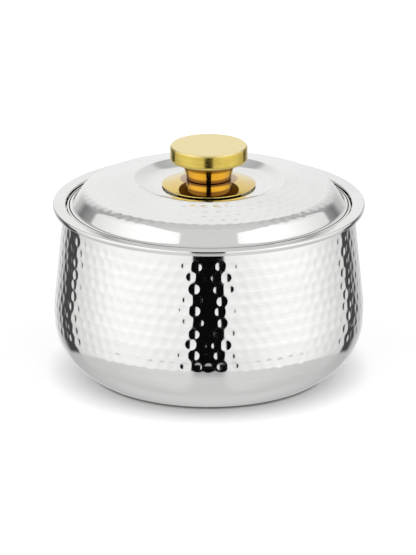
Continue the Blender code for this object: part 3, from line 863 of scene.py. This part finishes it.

# %% [markdown]
# The knob is brass, turned on a lathe, with a gold-coloured plating. The disc under it and its neck are
# polished. Gold takes most of the blue out of what it reflects, so the white room turns yellow in it, and
# where one gold face mirrors another the yellow deepens to orange. A clear lacquer keeps it from wearing:
# it adds a white gleam where the disc is seen at a flat angle. The neck is buffed less than the disc, which
# makes its reflections softer. Shade is painted into the plating's colour as darker tones round the neck's
# foot, close below the head, and under the disc.

# %% The knob's sizes
disc_radius = 34.6 * MM
disc_seat_radius = 17.5 * MM
disc_seat_height = 147.2 * MM
disc_rise = 4.2 * MM
disc_power = 1.5
disc_sheet = 0.8 * MM
neck_foot_height = disc_seat_height + fit
neck_height = 13.8 * MM
neck_foot_radius = 16.6 * MM
neck_top_radius = 21.6 * MM
head_foot_height = neck_foot_height + neck_height + fit
head_height = 10.9 * MM
head_radius = 28.4 * MM
head_top_height = head_foot_height + head_height
knob_columns = 288
above_the_knob = 200 * MM
print("the knob is", round((head_top_height - disc_seat_height + disc_rise) / MM, 1), "mm high")

# %% Material: polished gold-coloured plating


def polished_gold_plating():
    """
    Gold-coloured plating: polished on the disc, softer on the neck, and painted shade round its foot, below
    the head and underneath. The underside is what lies more than three quarters of the sheet below the
    dome's top. That top is the seat's height less the rise times a power of the way out.
    """
    dark_foot_top = disc_seat_height + 2.6 * MM
    dark_foot_radius = 21.0 * MM
    dark_neck_foot = disc_seat_height + 8.9 * MM
    far_below = disc_seat_height - 20 * MM
    underside_depth = disc_sheet * 0.75
    material = spun_metal("polished_gold_plated_brass", "#F1D068", "#EAC75D",
                          roughness=0.05, dull_roughness=0.09, line_width=0.8 * MM,
                          line_depth=0.0005 * MM, patch_size=9 * MM, lacquer=1.0)
    tree = material.node_tree
    _, distance, height = object_place(tree)
    on_neck = within(tree, height, disc_seat_height + fit / 2, above_the_knob, blur=0.05 * MM)
    over_tone(material, on_neck, "#F0C75C", roughness=0.11)
    # Painted shade round the neck's foot.
    near_foot = within(tree, height, far_below, dark_foot_top, blur=1.0 * MM)
    near_neck = within(tree, distance, 0.0, dark_foot_radius, blur=0.8 * MM)
    round_foot = add_node(tree, "ShaderNodeMath", [near_foot, near_neck], operation="MULTIPLY")
    over_tone(material, round_foot, "#A87C34", roughness=0.09)
    # Painted shade on the neck close below the head.
    below_head = within(tree, height, dark_neck_foot, above_the_knob, blur=0.8 * MM)
    over_tone(material, below_head, "#86602A", roughness=0.15)
    # Painted shade under the disc: its underside gets a near-black tone.
    share = add_node(tree, "ShaderNodeMapRange",
                     {"Value": distance, "From Min": disc_seat_radius, "From Max": disc_radius})
    drop = add_node(tree, "ShaderNodeMath", [share, disc_power], operation="POWER")
    drop = add_node(tree, "ShaderNodeMath", [drop, disc_rise], operation="MULTIPLY")
    dome_top = add_node(tree, "ShaderNodeMath", [disc_seat_height, drop], operation="SUBTRACT")
    below_top = add_node(tree, "ShaderNodeMath", [dome_top, height], operation="SUBTRACT")
    under = within(tree, below_top, underside_depth, 10 * MM, blur=0.1 * MM)
    return over_tone(material, under, "#2A2722", roughness=0.45)


polished_gold = polished_gold_plating()
print("nodes of the polished plating:", len(polished_gold.node_tree.nodes))

# %% The knob's base disc
disc_bore_edge = 10 * MM
disc_edge_bend = 0.3 * MM
disc_share = np.linspace(0.0, 1.0, 33)
disc_dome = np.column_stack([disc_seat_radius + (disc_radius - disc_seat_radius) * disc_share,
                             disc_seat_height - disc_rise * disc_share ** disc_power])
disc_line = np.vstack([[(bore_radius, disc_seat_height), (disc_bore_edge, disc_seat_height)], disc_dome])
disc_under = beside(disc_line, -disc_sheet)[::-1]
edge_top = (*disc_line[-1], disc_edge_bend)
edge_foot = (*disc_under[0], disc_edge_bend)
edge = rounded([disc_line[-2], edge_top, edge_foot, disc_under[1]], 4)
disc_outline = np.vstack([disc_line[:-1], edge[1:-1], disc_under[1:]])
disc_mesh = turned("knob_disc", disc_outline, knob_columns)
fitted(disc_mesh, "lid", "knob_base_disc", polished_gold)

# %% The knob's neck: it flares by a straight part and a square part of the way up
straight_flare = 0.28
square_flare = 0.72
neck_foot_edge = neck_foot_radius - 0.4 * MM
neck_rise = np.linspace(0.0, 1.0, 40)
neck_flare = straight_flare * neck_rise + square_flare * neck_rise ** 2
neck_side = np.column_stack([neck_foot_radius + (neck_top_radius - neck_foot_radius) * neck_flare,
                             neck_foot_height + neck_height * neck_rise])
neck_outline = np.vstack([
    [(bore_radius, neck_foot_height), (neck_foot_edge, neck_foot_height)],
    neck_side[1:],
    [(bore_radius, neck_foot_height + neck_height)],
])
neck_mesh = turned("knob_neck_flared", neck_outline, PLAIN_COLUMNS)
fitted(neck_mesh, "lid", "knob_neck", polished_gold)

# %% [markdown]
# The head of the knob is brushed, not polished: fine grooves run round it, so what it mirrors is smeared.
# Its top is painted paler than its side: a painted highlight, as on a satin face that looks up into the
# whole white room. The narrow band at its foot is polished, and the underside is painted dark as painted
# shade. The grooves are a twentieth of a millimetre apart, and are drawn at 0.5 mm so that they show.

# %% Material: brushed gold-coloured plating


def brushed_gold_plating():
    """Gold-coloured plating on turned grooves: painted paler on top, painted dark under, polished at the
    foot.
    """
    top_edge = head_top_height - 0.8 * MM
    foot_band_top = head_foot_height + 1.6 * MM
    underside_top = head_foot_height + 0.14 * MM
    material = spun_metal("brushed_gold_plated_brass", "#E4CB69", "#D6BA53",
                          roughness=0.16, dull_roughness=0.26,
                          line_width=0.5 * MM, line_depth=0.0035 * MM, patch_size=6 * MM)
    tree = material.node_tree
    _, _, height = object_place(tree)
    on_top = within(tree, height, top_edge, above_the_knob, blur=0.6 * MM)
    on_foot_band = within(tree, height, disc_seat_height, foot_band_top, blur=0.1 * MM)
    on_underside = within(tree, height, disc_seat_height, underside_top, blur=0.05 * MM)
    # Painted highlight: the top is paler because it faces up into the white room.
    over_tone(material, on_top, "#FBE9AE", roughness=0.30)
    over_tone(material, on_foot_band, "#F4DC80", roughness=0.08)
    # Painted shade: the head's underside is dark.
    return over_tone(material, on_underside, "#6E5220", roughness=0.35)


brushed_gold = brushed_gold_plating()
print("gold materials made")

# %% The knob's head
insert_radius = 4.3 * MM
socket_radius = insert_radius + fit
socket_top_height = head_foot_height + 8.8 * MM
top_slope_width = 1.0 * MM
top_slope_drop = 1.5 * MM
foot_slope_height = 1.8 * MM
foot_slope_width = 0.25 * MM
head_outline = divided(rounded([
    (0.0, head_top_height),
    (head_radius - top_slope_width, head_top_height, 0.5 * MM),
    (head_radius, head_top_height - top_slope_drop, 0.6 * MM),
    (head_radius, head_foot_height + foot_slope_height, 0.8 * MM),
    (head_radius - foot_slope_width, head_foot_height, 0.25 * MM),
    (socket_radius, head_foot_height, 0.3 * MM),
    (socket_radius, socket_top_height),
    (0.0, socket_top_height),
], 6), 2.0 * MM)
head_mesh = turned("knob_head_brushed", head_outline, knob_columns)
fitted(head_mesh, "lid", "knob_head", brushed_gold)

# %% [markdown]
# What is left is mostly hidden, but it shows when the lid is lifted or the pot is turned over: the base
# plate and its plug, the screw in its well with its washers, and inside the walls the poured foam.

# %% Materials: nylon, silicone, foam, satin and bright steel, brass
CLOUD_SIZE = 20 * MM
ROUGHNESS_CHANGE = 0.06


def moulded(name, colour, cloud_colour, roughness, grain_size, grain_depth):
    """A moulded or poured material: fine grain in the bump, and a slight change of tone."""
    material, tree = empty_material(name)
    place = add_node(tree, "ShaderNodeTexCoord").outputs["Object"]
    grain = add_node(tree, "ShaderNodeTexNoise", {"Vector": place, "Scale": 1 / grain_size, "Detail": 3.0})
    clouds = add_node(tree, "ShaderNodeTexNoise", {"Vector": place, "Scale": 1 / CLOUD_SIZE})
    tone = add_node(tree, "ShaderNodeMix", {0: clouds, 6: linear(colour), 7: linear(cloud_colour)},
                    data_type="RGBA").outputs[2]
    rough = add_node(tree, "ShaderNodeMapRange",
                     {"Value": grain, "To Min": roughness - ROUGHNESS_CHANGE,
                      "To Max": roughness + ROUGHNESS_CHANGE})
    bump = add_node(tree, "ShaderNodeBump", {"Height": grain, "Distance": grain_depth, "Strength": 0.6})
    shader = add_node(tree, "ShaderNodeBsdfPrincipled",
                      {"Base Color": tone, "Roughness": rough, "Normal": bump})
    add_node(tree, "ShaderNodeOutputMaterial", {"Surface": shader})
    return material


satin_steel = spun_metal("satin_18_8_stainless_steel", "#DCDCDA", "#CECECC",
                         roughness=0.22, dull_roughness=0.32,
                         line_width=0.9 * MM, line_depth=0.0030 * MM, patch_size=25 * MM)
fastener_steel = spun_metal("bright_zinc_plated_steel", "#D6D8DA", "#C2C5C8",
                            roughness=0.20, dull_roughness=0.30,
                            line_width=0.6 * MM, line_depth=0.0015 * MM, patch_size=5 * MM)
turned_brass = spun_metal("turned_brass", "#D9B36A", "#C79D52",
                          roughness=0.22, dull_roughness=0.32,
                          line_width=0.4 * MM, line_depth=0.0030 * MM, patch_size=4 * MM)
black_nylon = moulded("black_nylon_moulding", "#242424", "#2B2B2B",
                      roughness=0.45, grain_size=0.6 * MM, grain_depth=0.010 * MM)
grey_silicone = moulded("grey_silicone_rubber", "#9FA0A2", "#939496",
                        roughness=0.55, grain_size=0.8 * MM, grain_depth=0.006 * MM)
rigid_foam = moulded("rigid_polyurethane_foam", "#F0E2B6", "#E2CE97",
                     roughness=0.90, grain_size=1.2 * MM, grain_depth=0.250 * MM)
print("small materials made")

# %% Base plate
plate_edge_radius = base_radius - 1.8 * MM
raised_radius = base_radius - 13.0 * MM
raised_height = 2.4 * MM
raised_slope = 3.0 * MM
plate_bend = 1.2 * MM
port_radius = 6.0 * MM
plate_line = divided(rounded([
    (plate_edge_radius, sheet + fit),
    (raised_radius, sheet + fit, plate_bend),
    (raised_radius - raised_slope, raised_height, plate_bend),
    (port_radius, raised_height),
], 6), 5.0 * MM)
plate_outline = np.vstack([plate_line, beside(plate_line, -sheet)[::-1]])
plate_mesh = turned("base_plate_pressed", plate_outline, PLAIN_COLUMNS)
fitted(plate_mesh, "pot", "base_plate", satin_steel)

# %% Plug of the foam port
plug_foot = 1.0 * MM
plug_head_top = 2.1 * MM
plug_top = 6.0 * MM
plug_stem_radius = port_radius - fit
plug_head_radius = port_radius + 3.0 * MM
dimple_height = plug_foot + 0.5 * MM
dimple_radius = 3.2 * MM
dimple_floor_radius = 2.8 * MM
plug_columns = 96
plug_outline = rounded([
    (0.0, plug_top),
    (plug_stem_radius, plug_top, 0.4 * MM),
    (plug_stem_radius, plug_head_top, 0.2 * MM),
    (plug_head_radius, plug_head_top, 0.3 * MM),
    (plug_head_radius, plug_foot, 0.4 * MM),
    (dimple_radius, plug_foot, 0.3 * MM),
    (dimple_floor_radius, dimple_height, 0.3 * MM),
    (0.0, dimple_height),
], 4)
plug_mesh = turned("foam_port_plug", plug_outline, plug_columns)
fitted(plug_mesh, "pot", "fill_plug", black_nylon)

# %% Spacer under the knob's disc
spacer_radius = 22.5 * MM
spacer_height = 143.0 * MM
spacer_bevel = 1.0 * MM
spacer_columns = 192
under_disc = beside(disc_line, -disc_sheet - fit)
under_disc = under_disc[under_disc[:, 0] < spacer_radius]
disc_top_there = np.interp(spacer_radius, disc_line[:, 0], disc_line[:, 1])
spacer_edge_height = disc_top_there - disc_sheet - fit - 0.05 * MM
spacer_outline = np.vstack([
    [(bore_radius, spacer_height)],
    under_disc,
    [(spacer_radius, spacer_edge_height)],
    [(spacer_radius, spacer_height + spacer_bevel), (spacer_radius - spacer_bevel, spacer_height)],
])
spacer_mesh = turned("disc_spacer", spacer_outline, spacer_columns)
fitted(spacer_mesh, "lid", "base_spacer", black_nylon)

# %% [markdown]
# The remaining nodes keep their CAD shape, and each gets the finish of what it is made of.

# %% Finishes on the CAD nodes that stay
kept = {
    "body_insulation": rigid_foam,
    "lid_insulation": rigid_foam,
    "spacer_sleeve": fastener_steel,
    "backing_washer": fastener_steel,
    "knob_screw": fastener_steel,
    "lock_washer": fastener_steel,
    "plain_washer": fastener_steel,
    "sealing_washer": grey_silicone,
    "knob_gasket": grey_silicone,
    "knob_insert": turned_brass,
}
for node, material in kept.items():
    for material_slot in frame["nodes"][node].material_slots:
        material_slot.material = material
print("CAD nodes kept:", len(kept))

# %% Sizes of the CAD model and of the finished one
shown_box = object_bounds()
sizes = {"cad": [list(corner) for corner in cad_box], "visual": [list(corner) for corner in shown_box]}
for name, (low, high) in sizes.items():
    print(name, [round((b - a) / MM, 2) for a, b in zip(low, high)], "mm")
